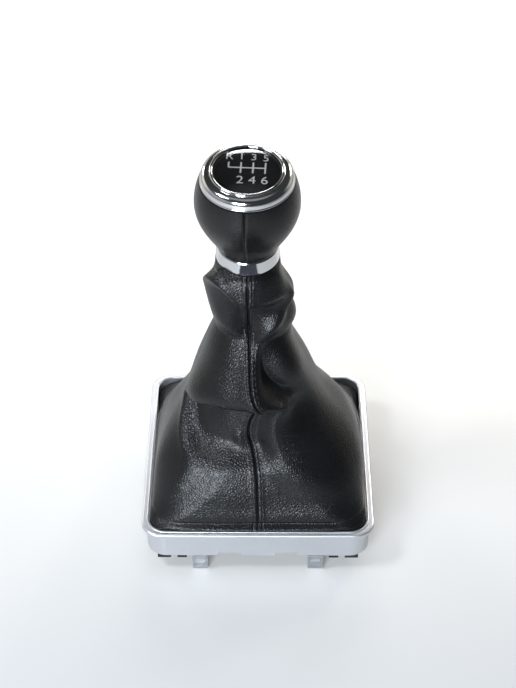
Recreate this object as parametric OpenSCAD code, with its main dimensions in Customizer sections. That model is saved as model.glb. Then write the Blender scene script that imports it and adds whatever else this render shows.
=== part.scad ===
// Gear shift knob with a leather gaiter and a clip-in trim frame.
// The part stands on its four spring clips, +Z up, and -Y faces the driver.
// The origin is below the middle of the trim frame, level with the clips' feet.

/* [Knob] */
// Radius of the knob at its widest
ball_r = 25.8; // [23:0.1:28]
// Height of the widest place above the foot of the knob
ball_h = 35.5; // [32:0.5:39]
// Radius of the leather where it meets the collar
foot_r = 15.3; // [14.5:0.1:16]
// Radius of the leather where it goes under the bezel
shoulder_r = 23.2; // [22:0.1:24]
// Height of the leather's upper edge
shoulder_h = 49; // [47:0.5:51]
// Thickness of the leather on the knob
skin_t = 1.2; // [0.8:0.1:1.6]

/* [Collar] */
// Height of the chrome collar
collar_h = 7.8; // [6:0.1:9]
// Outer radius of the collar at its foot
collar_r = 16; // [15.5:0.1:17]
// How much narrower the collar is at its top
collar_taper = 0.5; // [0:0.1:0.8]
// Wall of the collar
collar_wall = 1; // [0.8:0.1:1.2]

/* [Cap] */
// Radius of the black pattern plate
plate_r = 16.4; // [15:0.1:17]
// Rise of the clear lens above its edge
lens_rise = 2; // [1:0.1:3]
// Height of the bezel's inner lip above the leather's edge
bezel_rise = 6.6; // [5:0.1:8]

/* [Lever socket] */
// Radius of the bore that takes the car's lever
bore_r = 6; // [5:0.1:7]
// Depth of the bore
bore_depth = 46; // [35:1:50]
// Wall of the sleeve
sleeve_wall = 3.2; // [2.4:0.1:3.4]
// How far the sleeve reaches below the collar
sleeve_drop = 12; // [8:1:16]
// Number of slots in the sleeve's lower end
sleeve_slots = 4; // [2:1:6]

/* [Gaiter] */
// Thickness of the gaiter leather
leather_t = 1.2; // [0.8:0.1:1.6]
// Height of the knob's foot above the table
neck_h = 170.4; // [165:0.5:176]
// Rearward lean of the knob in degrees
knob_lean = 6.8; // [4:0.2:9]
// Sideways place of the knob, minus is to the driver's left
neck_x = -5.2; // [-7:0.1:0]
// Fore and aft place of the knob
neck_y = -4.2; // [-6:0.1:0]
// Radius of the upper roll of leather
roll_r = 23.2; // [22:0.1:25]
// How far up the neck the upper roll lies, from the waist to the collar
roll_share = 0.68; // [0.55:0.01:0.75]
// Radius of the gaiter at its waist
waist_r = 18.2; // [17:0.1:20]
// Height of the waist
waist_h = 127; // [115:0.5:135]
// How far the lower roll stands out
lower_roll = 8; // [6:0.1:9]
// How far up the skirt the lower roll lies, from the rim to the waist
lower_roll_share = 0.77; // [0.72:0.01:0.8]
// Depth of the hollow beside the front seam
seam_hollow = 5.5; // [3:0.1:7]

/* [Trim frame] */
// Width of the rim
frame_w = 124; // [120:0.5:130]
// Depth of the rim, fore and aft
frame_d = 126.4; // [122:0.5:132]
// Outer corner radius of the rim
frame_corner = 11; // [9:0.5:13]
// Height of the rim's top above the clips' feet
rim_top = 27.9; // [26:0.1:30]
// Thickness of the rim
rim_t = 2.6; // [2:0.1:3.2]
// Width of the rim at the sides
rim_side = 4; // [3.6:0.1:5]
// How far the skirt stands back under the rim
rim_lip = 2.6; // [2:0.1:2.8]
// Depth of the skirt below the rim's top
skirt_h = 17.1; // [15:0.1:19]

/* [Clips] */
// Width of a spring clip
clip_w = 8.2; // [6:0.1:10]
// Thickness of the spring steel
clip_t = 0.6; // [0.4:0.1:0.8]
// Distance of a clip's middle from the side of the rim
clip_inset = 31.1; // [26:0.1:36]
// Thickness of the tab that a clip sits on
tab_t = 1.8; // [1.4:0.1:2.4]

/* [Hidden] */

// Running and seating clearances
seat = 0.05;
free = 0.3;

// Heights in the knob's own frame, measured from the collar's foot
core_foot = collar_h + 0.2;
pocket_h = 4.4;
core_top = shoulder_h - 1.5;
recess_h = core_top - 5;
plate_sunk = 2.6;
plate_h = shoulder_h + bezel_rise - plate_sunk;
plate_t = 0.8;
lens_edge = 0.8;
knob_steps = 24;
sleeve_r = bore_r + sleeve_wall;
sleeve_top = bore_depth - sleeve_drop + 3;
ring_wall = 1.6;
ring_drop = 4;
tie_t = 0.55;
tie_w = 2.5;
knob_turn = -3;

// Bezel: its foot on the leather's edge, its outer radius and its inner lip
bezel_foot = shoulder_h + seat;
bezel_r = shoulder_r - 0.3;
bezel_top = shoulder_h + bezel_rise;
lip_r = plate_r + 0.9;
carrier_r = plate_r + 3.1;
band_steps = 8;

// Radii at the neck, from the collar's pocket inwards
pocket_r = collar_r - collar_wall;
tie_r = pocket_r - 0.1;
gaiter_top_r = tie_r - tie_t - seat;
neck_slack = 0.15;
ring_r = gaiter_top_r - leather_t - neck_slack;
gaiter_top = pocket_h - 0.5;
gaiter_head = neck_h + gaiter_top;
shoulder_out_r = collar_r + 0.2;

// Section of the rim: a rounded outer edge, a flat band and a raised inner bead
edge_w = 1;
edge_h = 0.9;
edge_in = 0.4;
edge_set = 0.1;
band_drop = 0.4;
bead_r = 0.8;

// Plan of the frame opening, of the skirt and of the gaiter's foot
rim_front = 3.6;
hole_w = frame_w - 2 * rim_side;
hole_d = frame_d - 2 * rim_front;
hole_corner = frame_corner - 2;
skirt_front = 1.2;
skirt_w = frame_w - 2 * rim_lip;
skirt_d = frame_d - 2 * skirt_front;
skirt_corner = frame_corner - 0.4;
hem_gap = 0.4;
hem_x = hole_w / 2 - hem_gap;
hem_y = hole_d / 2 - hem_gap;
hem_corner = hole_corner - hem_gap;
hem_h = rim_top - 11;
hold_x = hem_x - leather_t - free;
hold_y = hem_y - leather_t - free;
hold_wall = 2;
hold_corner = frame_corner - 3;
skirt_foot = rim_top - skirt_h;
hold_foot = skirt_foot - 1.2;

// The clips' tabs hang from the skirt's wall, near and far
clip_x = frame_w / 2 - clip_inset;
tab_foot = 2.6;
tab_top = skirt_foot + 5;
tab_y = (hole_d + skirt_d) / 4;

// Largest depth or rise of each fold in the gaiter, in millimetres
upper_dent = 5;
crest_ridge = 0.9;
side_roll = 4.2;
side_crease = 1.6;
side_crest = 0.9;
crest_lift = 9;
waist_crease = 1.5;
strip_rise = 2.6;
seam_ridge = 2.8;
cheek_rise = 3.5;
under_depth = 4.6;
nose_hollow = 3.5;
left_ridge = 1.5;
front_bulge = 5;
dimple_rise = 2;
slant_rise = 2.5;
slant_hollow = 2;
side_bulge = 3.5;
rear_sag = 2.2;
corner_pocket = 6;
welt_rise = 0.7;
front_sag = 2;
foot_puff = 2.4;

// How round the skirt hangs above the frame, how square its foot is and how far the rear falls in
pillow = 0.17;
hem_square = 3;
rear_dip = 0.07;

// Folds lie at levels: 0 at the rim's top, 100 at the waist, neck_level at the collar
neck_level = 143;
roll_level = 100 + (neck_level - 100) * roll_share;
lip_level = 100 * lower_roll_share;

// Columns of the gaiter from the front seam to the rear one, closer together beside the
// seam and round the corners, and rows in bands: hem, welt, skirt, neck, shoulder and collar
cols = [0, 4, 8, 12, 16, 20, 25, 30, 35, 39, 42, 45, 48, 51, 55, 60, 67, 75, 84, 94, 104, 113, 121,
        127, 131, 134, 137, 141, 147, 156, 168, 180];
last_col = len(cols) - 1;
welt_h = rim_top + hem_gap;
puff_h = rim_top + 11;
roll_h = waist_h + (neck_h - waist_h) * roll_share;
collar_in_h = neck_h - 2.4;
bands = [[hem_h, welt_h, 2], [welt_h, puff_h, 7], [puff_h, waist_h, 20], [waist_h, roll_h, 7],
         [roll_h, collar_in_h, 5], [collar_in_h, neck_h, 2], [neck_h, gaiter_head, 1]];
row_heights = [hem_h, for (b = bands, i = [1 : b[2]]) b[0] + (b[1] - b[0]) * i / b[2]];
rows = len(row_heights) - 1;

// Shaping functions
function clamp(t) = min(1, max(0, t));
function ease(t) = let (u = clamp(t)) u * u * (3 - 2 * u);
function hump(d, w) = exp(-(d / w) * (d / w));
function turn(a) = a > 180 ? a - 360 : a < -180 ? a + 360 : a;
function power(x, n) = x <= 0 ? 0 : pow(x, n);

// Distance from the middle to the edge of a rectangle with round corners, along an angle
function plan_radius(a, rx, ry, rc) =
    let (s = abs(sin(a)), c = abs(cos(a)), cx = rx - rc, cy = ry - rc,
         mid = cx * s + cy * c)
    s * ry <= cx * c ? ry / c
    : c * rx <= cy * s ? rx / s
    : mid + sqrt(max(0, mid * mid - cx * cx - cy * cy + rc * rc));

// Level of a height, so that the folds keep their places when a height changes
function level(h) =
    h < waist_h ? 100 * (h - rim_top) / (waist_h - rim_top)
    : 100 + (neck_level - 100) * (h - waist_h) / (neck_h - waist_h);

// Radius of the gaiter below its waist, round at the waist and squarish at the frame
function skirt_radius(a, lv) =
    let (t = clamp(1 - lv / 100),
         rear = ease((abs(a) - 60) / 70),
         full = pillow * (1 - rear) * hump(t - 0.74, 0.22) * (1 - pow(t, 12)),
         dip = rear_dip * rear * hump(t - 0.55, 0.22),
         rx = waist_r + (hem_x - waist_r) * (t + 0.8 * full - dip),
         ry = waist_r + (hem_y - waist_r) * (power(t, 0.86) + 0.6 * full - dip),
         rc = rx + (hem_corner - rx) * power(t, hem_square + 2 * rear))
    plan_radius(a, rx, ry, rc);

// Level of the upper roll's crest, high on the near left and low on the right and behind
function crest_at(a) =
    roll_level + crest_lift * ease((-4 - a) / 36) * ease((a + 100) / 50)
    - 10 * ease((-65 - a) / 50) - 9 * ease((a - 42) / 50) - ease((a - 95) / 40);

// Radius of the neck between the waist and the collar, where the leather is tied in.
// It slopes out evenly in front, and hugs the collar at the sides and behind.
function neck_radius(a, lv) =
    let (crest = crest_at(a),
         top = neck_level - 0.6,
         hug = ease((abs(a - 4) - 50) / 50),
         roll = roll_r - 1.5 * hug * ease((abs(a) - 100) / 40),
         up_share = power(clamp((top - lv) / (top - crest)), 1.05 + 1.6 * hug),
         up = shoulder_out_r + (roll - shoulder_out_r) * up_share,
         down = waist_r + (roll - waist_r) * power(clamp((lv - 100) / (crest - 100)), 1.1),
         soft = 0.6,
         both = -soft * ln(exp(-up / soft) + exp(-down / soft)))
    both - (shoulder_out_r - gaiter_top_r) * ease((lv - neck_level + 2.4) / 2.2);

// The lower roll reaches from the left side to a nose right of the seam
function roll_end(lv) = 9 + 13 * hump(lv - 69, 8);
function roll_amount(a, lv) =
    lower_roll * ease((a + 92) / 45) * (1 - ease((a - roll_end(lv)) / 9));
function roll_crest(a) = lip_level - 0.002 * pow(max(0, min(90, -a)), 2);

// Angle of the long crease that runs from the lower roll's left end down to the corner
function crease_at(lv) =
    -37 - 1.3 * max(0, min(24, lv - 34.5)) - 0.25 * max(0, min(20, 28.5 - lv));

// Folds of the neck: the crest and the dent below it, a second roll on the right,
// a creased waist and a stretched strip from the right end of the crest to the seam
function neck_folds(a, lv) =
    let (crest = crest_at(a),
         right = hump(turn(a - 92), 48),
         dent = ease((crest - 1.5 - lv) / 7) * ease((lv - 99) / 8))
    crest_ridge * hump(lv - crest - 0.5, 2.2) * hump(a, 75)
    - upper_dent * dent * hump(a + 2, 11 + 1.5 * max(0, lv - 101))
    + right * (side_roll * hump(lv - 105, 8) - side_crease * hump(lv - 116, 4))
    + right * side_crest * hump(lv - 124, 6)
    - waist_crease * hump(lv - 100, 6) * (hump(turn(a + 25), 60) - hump(turn(a - 110), 35))
    + strip_rise * hump(lv - 99 - 0.38 * (a - 10), 5) * ease((a - 2) / 14) * ease((80 - a) / 20);

// Folds between the waist and the lower roll: the seam's ridge, the valley beside it
// that runs round the nose, and the right cheek
function middle_folds(a, lv) =
    let (mid = ease((99 - lv) / 13) * ease((lv - 67) / 9),
         e = a - roll_end(lv) - 3 - 0.4 * max(0, lv - 77))
    mid * (seam_ridge * hump(a + 2, 9) - seam_hollow * hump(e, e < 0 ? 6 : 17))
    + cheek_rise * hump(lv - 84, 13) * hump(a - 52, 22);

// The lower roll with the hollow under it, and the hollow right of its nose
function roll_folds(a, lv) =
    let (low = roll_crest(a) - lv,
         under = ease((a - crease_at(lv) + 4) / 18) * (1 - ease((a - 6) / 14))
                 * ease((low - 6) / 7) * ease((lv - 30) / 14))
    roll_amount(a, lv) * hump(low, 10) - under_depth * under
    - nose_hollow * hump(lv - 62, 11) * hump(a - 40, 13);

// The left crease's ridge and the bulges above the frame
function foot_folds(a, lv) =
    left_ridge * hump(a - crease_at(lv) + 4, 7) * ease((lv - 6) / 16) * ease((67 - lv) / 12)
    + front_bulge * hump(lv - 25, 14) * hump(a + 19, 15)
    + dimple_rise * hump(lv - 44.5, 5) * hump(a + 8, 6)
    + slant_rise * hump(lv - 39.5 + 0.45 * (a - 3), 9) * hump(a - 20, 20) * ease((a + 4) / 14)
    - slant_hollow * hump(lv - 20 + 0.3 * (a - 20), 10) * hump(a - 30, 20)
    + side_bulge * hump(lv - 27, 15) * hump(a - 85, 30);

// Soft sags of the rear, and the rear corners where the leather falls in behind the rim
function rear_folds(a, lv) =
    -corner_pocket * ease((lv + 5) / 6) * hump(lv - 1, 11) * hump(abs(a) - 136, 15)
    + rear_sag * (hump(turn(a - 180), 50) * (hump(lv - 69, 10) - 0.8 * hump(lv - 53, 9))
                + 0.9 * hump(lv - 36, 12) * hump(turn(a - 120), 22)
                + 0.7 * hump(lv - 34, 12) * hump(turn(a + 118), 22));

// Rolled welt where the leather leaves the frame, lying over the rim in front
function welt_fold(a, h) =
    let (u = h - rim_top,
         front = ease((44 - abs(a)) / 14))
    ease((u - hem_gap) / 0.8)
    * ((welt_rise + front_sag * front) * hump(u - 1.6, 1.9) + foot_puff * front * hump(u - 7, 5)
       - (0.3 + 0.6 * front) * hump(u - 4, 0.8));

function gaiter_radius(a, h) =
    let (lv = level(h))
    (h < waist_h ? skirt_radius(a, lv) : neck_radius(a, lv))
    + neck_folds(a, lv) + middle_folds(a, lv) + roll_folds(a, lv)
    + foot_folds(a, lv) + rear_folds(a, lv) + welt_fold(a, h);

// A point of the gaiter: a is the angle from the front, h its height before it sags,
// inward is the distance to the outer face
function gaiter_point(a, h, inward) =
    let (lv = level(h),
         r = gaiter_radius(a, h) - inward,
         sag = 0.42 * roll_amount(a, lv) * hump(lv - roll_crest(a) + 2, 10),
         up = h - sag - neck_h,
         w = ease(lv / roll_level),
         lean = knob_lean * ease((lv - 105) / 30),
         aside = 6 * hump(lv - 69.5, 8) - 3.4 * hump(lv - 48.5, 11),
         pull = aside * hump(a, 38) * ease((101 - lv) / 20))
    [neck_x * w + r * sin(a) + pull,
     neck_y * w - r * cos(a) * cos(lean) - up * sin(lean),
     neck_h + up * cos(lean) - r * cos(a) * sin(lean)];

// Height of a row at an angle: the rows of the neck are drawn so that one lies on the crest
function row_at(a, h) =
    let (crest_h = waist_h + (neck_h - waist_h) * (crest_at(a) - 100) / (neck_level - 100))
    h <= waist_h || h >= collar_in_h ? h
    : h < roll_h ? waist_h + (h - waist_h) * (crest_h - waist_h) / (roll_h - waist_h)
    : collar_in_h - (collar_in_h - h) * (collar_in_h - crest_h) / (collar_in_h - roll_h);

// One half of the gaiter between the front and rear seams, as a closed shell
module gaiter_half(side) {
    n = last_col + 1;
    m = rows + 1;
    angles = side > 0 ? cols : [for (i = [last_col : -1 : 0]) -cols[i]];
    points = [for (inward = [0, leather_t], h = row_heights, a = angles)
              gaiter_point(a, row_at(a, h), inward)];
    in0 = n * m;
    outer = [for (j = [0 : rows - 1], i = [0 : last_col - 1]) let (p = j * n + i)
             each [[p, p + n, p + 1], [p + 1, p + n, p + n + 1]]];
    inner = [for (f = outer) [f[0] + in0, f[2] + in0, f[1] + in0]];
    foot = [for (i = [0 : last_col - 1]) let (p = i)
            each [[p, p + 1, p + in0], [p + 1, p + 1 + in0, p + in0]]];
    head = [for (i = [0 : last_col - 1]) let (p = rows * n + i)
            each [[p, p + in0, p + 1], [p + 1, p + in0, p + 1 + in0]]];
    seam_a = [for (j = [0 : rows - 1]) let (p = j * n)
              each [[p, p + in0, p + n], [p + n, p + in0, p + n + in0]]];
    seam_b = [for (j = [0 : rows - 1]) let (p = j * n + last_col)
              each [[p, p + n, p + in0], [p + n, p + n + in0, p + in0]]];
    polyhedron(points, concat(outer, inner, foot, head, seam_a, seam_b), convexity = 10);
}

// Puts a piece of the knob where it stands at rest
module on_lever() {
    translate([neck_x, neck_y, neck_h]) rotate([knob_lean, 0, 0]) rotate(knob_turn) children();
}

// Radius of the leather knob at a height
function knob_radius(h) =
    h < ball_h
    ? foot_r + (ball_r - foot_r) * pow(sin(90 * (h - core_foot) / (ball_h - core_foot)), 1.3)
    : ball_r - (ball_r - shoulder_r) * pow((h - ball_h) / (shoulder_h - ball_h), 2);

function knob_height(i) = core_foot + (shoulder_h - core_foot) * i / knob_steps;

module knob_core() {
    color([0.13, 0.13, 0.14]) on_lever() rotate_extrude($fn = 96)
        difference() {
            polygon([[sleeve_r + seat, core_foot],
                     for (i = [0 : knob_steps]) let (h = min(knob_height(i), core_top))
                         [knob_radius(h) - skin_t - seat, h],
                     [0, core_top], [0, sleeve_top + seat], [sleeve_r + seat, sleeve_top + seat]]);
            translate([0, recess_h]) square([plate_r + 1.6, core_top]);
        }
}

module knob_half(first) {
    on_lever() rotate(first) rotate_extrude(angle = 180, $fn = 96)
        polygon([for (i = [0 : knob_steps]) let (h = knob_height(i)) [knob_radius(h), h],
                 for (i = [knob_steps : -1 : 0]) let (h = knob_height(i)) [knob_radius(h) - skin_t, h]]);
}

module knob_leather_left() {
    color([0.05, 0.05, 0.055]) knob_half(90);
}

module knob_leather_right() {
    color([0.05, 0.05, 0.055]) knob_half(-90);
}

module collar_ring() {
    color([0.85, 0.86, 0.88]) on_lever() rotate_extrude($fn = 96)
        polygon([[pocket_r, 0], [collar_r - 0.25, 0], [collar_r, 0.4], [collar_r, 1],
                 [collar_r - collar_taper * 0.5, collar_h * 0.55],
                 [collar_r - collar_taper, collar_h - 0.5], [collar_r - collar_taper - 0.4, collar_h],
                 [ring_r + seat, collar_h], [ring_r + seat, pocket_h], [pocket_r, pocket_h]]);
}

module neck_ring() {
    color([0.1, 0.1, 0.1]) on_lever() rotate_extrude($fn = 96)
        polygon([[ring_r - ring_wall, -ring_drop], [ring_r - 0.4, -ring_drop], [ring_r, -ring_drop + 0.4],
                 [ring_r, core_foot], [sleeve_r + seat, core_foot], [sleeve_r + seat, core_foot - 1.6],
                 [ring_r - ring_wall, core_foot - 1.6]]);
}

module gaiter_tie() {
    color([0.12, 0.12, 0.12]) on_lever() translate([0, 0, gaiter_top - tie_w - 0.6])
        rotate_extrude($fn = 96) translate([tie_r - tie_t, 0]) square([tie_t, tie_w]);
}

module lever_sleeve() {
    slot_w = 1.5;
    slot_top = core_foot - 2;
    color([0.75, 0.75, 0.72]) on_lever() difference() {
        union() {
            translate([0, 0, -sleeve_drop]) cylinder(r = sleeve_r, h = sleeve_top + sleeve_drop, $fn = 64);
            translate([0, 0, -sleeve_drop]) cylinder(r = sleeve_r + 0.7, h = 1.2, $fn = 64);
        }
        translate([0, 0, -sleeve_drop - 1]) cylinder(r = bore_r, h = bore_depth + 1, $fn = 64);
        for (i = [0 : sleeve_slots - 1]) rotate(45 + i * 360 / sleeve_slots)
            translate([bore_r * 0.5, -slot_w / 2, -sleeve_drop - 1])
                cube([sleeve_r, slot_w, slot_top + sleeve_drop - 8]);
    }
}

// Stepless clamp with one pinched ear, round the sleeve's slotted end
module clamp_ring() {
    band_h = 6;
    band_t = 0.8;
    ear_w = 5;
    ear_h = 2;
    inner_r = sleeve_r + seat;
    color([0.7, 0.7, 0.72]) on_lever() translate([0, 0, 1.5 - sleeve_drop]) rotate(200)
        linear_extrude(band_h) difference() {
            union() {
                circle(inner_r + band_t, $fn = 64);
                translate([0, -ear_w / 2]) square([inner_r + band_t + ear_h, ear_w]);
            }
            circle(inner_r, $fn = 64);
            translate([inner_r - 1, band_t - ear_w / 2]) square([ear_h + 1, ear_w - 2 * band_t]);
        }
}

// Chrome bezel, revolved from its outer foot over the convex band to the inner lip
module bezel_ring() {
    band_in = lip_r + 1.9;
    band_out = bezel_r;
    band_rise = bezel_top - 0.9 - bezel_foot - 1.6;
    color([0.86, 0.87, 0.89]) on_lever() rotate_extrude($fn = 120)
        polygon([[bezel_r - 0.9, bezel_foot], [bezel_r - 0.1, bezel_foot + 0.3], [bezel_r, bezel_foot + 1.2],
                 for (i = [0 : band_steps]) let (t = 90 * i / band_steps)
                     [band_in + (band_out - 0.3 - band_in) * cos(t), bezel_foot + 1.6 + band_rise * sin(t)],
                 [band_in - 0.35, bezel_top - 1.3], [lip_r + 0.75, bezel_top - 1.1],
                 [lip_r + 0.55, bezel_top - 0.35], [lip_r, bezel_top], [lip_r - 0.6, bezel_top - 0.2],
                 [lip_r - 0.8, bezel_top - 1.2], [lip_r - 0.8, plate_h + 0.1], [lip_r, plate_h - 0.1],
                 [carrier_r + 0.1, plate_h - 0.6], [carrier_r + 0.1, bezel_foot]]);
}

module cap_carrier() {
    leg_w = 5;
    leg_t = 1.6;
    color([0.08, 0.08, 0.085]) on_lever() {
        translate([0, 0, bezel_foot]) difference() {
            cylinder(r = carrier_r, h = plate_h - bezel_foot - 0.7, $fn = 96);
            translate([0, 0, -1]) cylinder(r = plate_r - 2, h = plate_h - bezel_foot - 1.2, $fn = 96);
        }
        translate([0, 0, plate_h - 1]) cylinder(r = plate_r, h = 0.95, $fn = 96);
        for (i = [0 : 3]) rotate(45 + 90 * i)
            translate([plate_r - leg_t - 0.4, -leg_w / 2, recess_h + 0.4])
                rotate([90, 0, 90]) linear_extrude(leg_t) polygon([[0, 0], [leg_w, 0],
                    [leg_w, bezel_foot - recess_h], [0, bezel_foot - recess_h]]);
    }
}

module pattern_plate() {
    color([0.02, 0.02, 0.02]) on_lever() translate([0, 0, plate_h])
        cylinder(r = plate_r - 0.9, h = plate_t, $fn = 96);
}

module pattern_lens() {
    edge_r = plate_r - 0.05;
    dome_steps = 10;
    base = plate_h + plate_t + seat;
    color([0.75, 0.8, 0.85, 0.35]) on_lever() rotate_extrude($fn = 120)
        polygon([[0, base], [edge_r, base], [edge_r, base + lens_edge],
                 for (i = [1 : dome_steps]) let (u = 1 - i / dome_steps)
                     [edge_r * u, base + lens_edge + lens_rise * (1 - u * u)]]);
}

module gaiter_left() {
    color([0.06, 0.06, 0.065]) gaiter_half(-1);
}

module gaiter_right() {
    color([0.06, 0.06, 0.065]) gaiter_half(1);
}

// Rectangle with round corners, centred on the origin
module plan(w, d, r) {
    square([w - 2 * r, d], center = true);
    square([w, d - 2 * r], center = true);
    for (x = [-1, 1], y = [-1, 1]) translate([x * (w / 2 - r), y * (d / 2 - r)]) circle(r, $fn = 48);
}

// Sweeps a section round that rectangle: its x points outwards from the edge, its y up
module run_round(w, d, r) {
    for (i = [0 : 3]) {
        along = i % 2 == 0 ? w / 2 - r : d / 2 - r;
        away = i % 2 == 0 ? d / 2 : w / 2;
        rotate(90 * i) {
            translate([along, -away, 0]) rotate([90, 0, -90]) linear_extrude(2 * along) children();
            translate([along, r - away, 0]) rotate(-90)
                rotate_extrude(angle = 90, $fn = 48) translate([r, 0]) children();
        }
    }
}

// Rounded outer edge of the rim, set back a little from its flat band above and below
module edge_section() {
    steps = 5;
    crown = -band_drop - edge_set;
    polygon([[-edge_in, edge_set - rim_t], [edge_w, edge_set - rim_t],
             for (i = [0 : steps]) let (t = 90 * i / steps)
                 [(edge_w + edge_in) * cos(t) - edge_in, crown + edge_h * (sin(t) - 1)]]);
}

module trim_frame() {
    notch_w = 12.2;
    notch_x = 15.2;
    notch_h = 2;
    tab_w = clip_w - 1.2;
    band_w = frame_w - 2 * edge_w;
    band_d = frame_d - 2 * edge_w;
    color([0.78, 0.79, 0.81]) difference() {
        union() {
            translate([0, 0, rim_top - rim_t]) linear_extrude(rim_t - band_drop)
                plan(band_w, band_d, frame_corner - edge_w);
            translate([0, 0, rim_top]) run_round(band_w, band_d, frame_corner - edge_w) edge_section();
            translate([0, 0, rim_top - bead_r]) run_round(hole_w, hole_d, hole_corner)
                translate([bead_r + seat, 0]) circle(bead_r, $fn = 24);
            translate([0, 0, skirt_foot]) linear_extrude(skirt_h - rim_t)
                plan(skirt_w, skirt_d, skirt_corner);
        }
        translate([0, 0, skirt_foot - 1]) linear_extrude(skirt_h + 2) plan(hole_w, hole_d, hole_corner);
        for (x = [-1, 1]) translate([x * notch_x - notch_w / 2, -frame_d / 2, skirt_foot - 1])
            cube([notch_w, 8, notch_h + 1]);
    }
    color([0.78, 0.79, 0.81]) for (x = [-1, 1], y = [-1, 1])
        translate([x * clip_x - tab_w / 2, y * tab_y - tab_t / 2, tab_foot])
            cube([tab_w, tab_t, tab_top - tab_foot]);
}

// Spring clip: a folded strip that straddles a tab, with a barb on its outer leg
module spring_clip(x, side) {
    leg_gap = tab_t / 2 + seat;
    leg_out = leg_gap + clip_t;
    leg_top = skirt_foot - 0.1;
    bend_r = leg_out;
    color([0.7, 0.72, 0.74]) translate([x, side * tab_y, 0]) difference() {
        rotate([90, 0, 90]) translate([0, 0, -clip_w / 2]) linear_extrude(clip_w) {
            difference() {
                union() {
                    translate([0, bend_r]) circle(bend_r, $fn = 32);
                    translate([-leg_out, bend_r]) square([2 * leg_out, leg_top - bend_r]);
                }
                translate([0, bend_r]) circle(leg_gap, $fn = 32);
                translate([-leg_gap, bend_r]) square([2 * leg_gap, leg_top]);
            }
        }
        for (s = [-1, 1]) translate([-clip_w / 2 + 1.6, s * (leg_gap + clip_t / 2) - clip_t, 5.2])
            cube([clip_w - 3.2, 2 * clip_t, 3]);
    }
}

module clip_near_left() {
    spring_clip(-clip_x, -1);
}

module clip_near_right() {
    spring_clip(clip_x, -1);
}

module clip_far_left() {
    spring_clip(-clip_x, 1);
}

module clip_far_right() {
    spring_clip(clip_x, 1);
}

// Black plastic frame that carries the leather's hem, with ramps that hook under the skirt
module retaining_frame() {
    wall_top = hem_h + 4;
    ramp_y = hold_y + 0.6;
    wide_ramp = 7;
    wide_x = hold_x - 6;
    slim_ramp = 5;
    slim_x = hold_x - 15.5;
    color([0.09, 0.09, 0.1]) {
        translate([0, 0, hold_foot]) difference() {
            linear_extrude(wall_top - hold_foot) plan(2 * hold_x, 2 * hold_y, hold_corner);
            translate([0, 0, -1]) linear_extrude(wall_top)
                plan(2 * (hold_x - hold_wall), 2 * (hold_y - hold_wall), hold_corner - hold_wall);
        }
        for (x = [-1, 1], y = [-1, 1]) {
            translate([x * wide_x, y * ramp_y, hold_foot]) ramp(wide_ramp, y);
            translate([x * slim_x, y * ramp_y, hold_foot]) ramp(slim_ramp, y);
        }
    }
}

// Ramp under the skirt's edge, which springs in as the frame is pushed up into the trim
module ramp(w, side) {
    root = 1.6;
    reach = 3;
    top = 1.2;
    drop = 3.2;
    rotate([90, 0, 90]) translate([0, 0, -w / 2]) linear_extrude(w)
        polygon([[-side * root, top], [side * reach, top], [side * reach, -drop * 0.4],
                 [side * reach / 4, -drop], [-side * root, -drop * 0.5]]);
}

knob_core();
lever_sleeve();
clamp_ring();
neck_ring();
gaiter_tie();
collar_ring();
knob_leather_left();
knob_leather_right();
bezel_ring();
cap_carrier();
pattern_plate();
pattern_lens();
gaiter_left();
gaiter_right();
trim_frame();
retaining_frame();
clip_near_left();
clip_near_right();
clip_far_left();
clip_far_right();
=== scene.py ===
"""Looks for a leather gear knob with its gaiter and trim frame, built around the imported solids.

Everything is in metres in the object's own frame, +Z up, with the driver at -Y. The gaiter's
surface is worked out in millimetres, as in the part's source, and scaled at the end.
"""

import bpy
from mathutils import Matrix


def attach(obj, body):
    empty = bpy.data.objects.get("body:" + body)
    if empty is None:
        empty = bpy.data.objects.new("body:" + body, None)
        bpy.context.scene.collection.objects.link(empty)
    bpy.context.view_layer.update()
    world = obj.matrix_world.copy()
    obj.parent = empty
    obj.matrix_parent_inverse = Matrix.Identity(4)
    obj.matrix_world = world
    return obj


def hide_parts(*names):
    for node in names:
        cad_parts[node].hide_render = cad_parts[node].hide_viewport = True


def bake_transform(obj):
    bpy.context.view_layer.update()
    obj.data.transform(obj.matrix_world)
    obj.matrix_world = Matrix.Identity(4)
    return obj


bl_info = {
    "name": "Gear Knob Looks",
    "version": (1, 0, 0),
    "blender": (4, 5, 0),
    "location": "View3D > Sidebar > Gear Knob",
    "description": "Leather, chrome, satin trim and stage for a gear knob with a gaiter",
    "category": "Object",
}

import math

import bpy
import numpy as np
from bpy.props import FloatProperty, FloatVectorProperty, IntProperty, PointerProperty
from mathutils import Matrix, Quaternion, Vector

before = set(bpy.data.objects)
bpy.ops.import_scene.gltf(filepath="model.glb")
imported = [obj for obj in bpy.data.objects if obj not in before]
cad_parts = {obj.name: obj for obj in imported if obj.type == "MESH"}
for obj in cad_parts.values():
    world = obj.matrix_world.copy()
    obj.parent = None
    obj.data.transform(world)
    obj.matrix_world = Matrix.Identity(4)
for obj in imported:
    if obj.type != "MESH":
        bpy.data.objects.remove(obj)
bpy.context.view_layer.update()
MM = 0.001

# Where the knob stands at rest: its foot, its lean and its turn about its own axis
KNOB_FOOT = Vector((-5.2, -4.2, 170.4)) * MM
KNOB_LEAN = math.radians(6.8)
KNOB_TURN = math.radians(-3)
LEVER = (
    Matrix.Translation(KNOB_FOOT)
    @ Matrix.Rotation(KNOB_LEAN, 4, "X")
    @ Matrix.Rotation(KNOB_TURN, 4, "Z")
)


# Sizes and colours


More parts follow.
